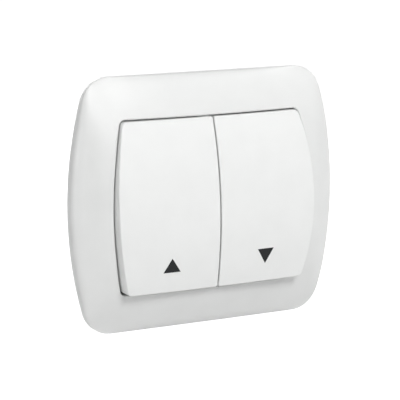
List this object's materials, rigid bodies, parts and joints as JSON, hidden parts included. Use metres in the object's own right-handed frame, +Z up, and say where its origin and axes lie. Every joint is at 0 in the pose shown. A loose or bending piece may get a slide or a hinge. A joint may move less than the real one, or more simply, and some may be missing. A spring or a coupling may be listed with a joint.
{
  "type": "double push-button switch",
  "caption": "Flush wall switch with two sprung rocking push-buttons marked up and down, in a crowned frame with bowed sides.",
  "frame": {"origin": "midway between the two level box screw slots, on the wall plane", "axes": "+X to the right, +Z up, the buttons face -Y and the wall box lies at +Y"},
  "size_m": [0.0944, 0.0346, 0.082],
  "materials": {
    "frame_plastic": "moulded, satin gloss, white",
    "button_plastic": "moulded, satin gloss, white, with a printed triangle",
    "mechanism_plastic": "moulded, light grey",
    "lever_plastic": "moulded, natural white",
    "housing_plastic": "moulded, light grey",
    "plated_steel": "pressed sheet, zinc plated",
    "screw_steel": "zinc plated",
    "spring_steel": "drawn wire",
    "contact_brass": "stamped",
    "contact_silver": "silver disc"
  },
  "bodies": {
    "root": {"cover_frame": "frame_plastic", "mounting_plate": "plated_steel", "mechanism_cover": "mechanism_plastic", "mechanism_base": "housing_plastic", "cover_screws": "screw_steel", "common_strip": "contact_brass", "terminal_screws": "screw_steel", "left_return_spring": "spring_steel", "left_fixed_contact": "contact_silver", "left_output_strip": "contact_brass", "left_common_terminal": "contact_brass", "left_output_terminal": "contact_brass", "right_return_spring": "spring_steel", "right_fixed_contact": "contact_silver", "right_output_strip": "contact_brass", "right_common_terminal": "contact_brass", "right_output_terminal": "contact_brass"},
    "left_press": {"left_button": "button_plastic", "left_lever": "lever_plastic"},
    "left_contact": {"left_contact_arm": "contact_brass", "left_moving_contact": "contact_silver"},
    "right_press": {"right_button": "button_plastic", "right_lever": "lever_plastic"},
    "right_contact": {"right_contact_arm": "contact_brass", "right_moving_contact": "contact_silver"}
  },
  "joints": [
    {"name": "left_button_press", "type": "hinge", "parent": "root", "child": "left_press", "pos_m": [-0.01075, -0.006, 0], "axis": [1, 0, 0], "range_deg": [0, 6], "stiffness_Nm_per_rad": 0.2, "springref_deg": -8.59, "deforming": ["left_return_spring"]},
    {"name": "left_contact_swing", "type": "hinge", "parent": "root", "child": "left_contact", "pos_m": [-0.01075, 0.00385, 0.012], "axis": [1, 0, 0], "range_deg": [0, 2.5]},
    {"name": "right_button_press", "type": "hinge", "parent": "root", "child": "right_press", "pos_m": [0.01075, -0.006, 0], "axis": [1, 0, 0], "range_deg": [0, 6], "stiffness_Nm_per_rad": 0.2, "springref_deg": -8.59, "deforming": ["right_return_spring"]},
    {"name": "right_contact_swing", "type": "hinge", "parent": "root", "child": "right_contact", "pos_m": [0.01075, 0.00385, 0.012], "axis": [1, 0, 0], "range_deg": [0, 2.5]}
  ],
  "couplings": [
    {"joint": "left_contact_swing", "follows": "left_button_press", "ratio": 0.4},
    {"joint": "right_contact_swing", "follows": "right_button_press", "ratio": 0.4}
  ]
}
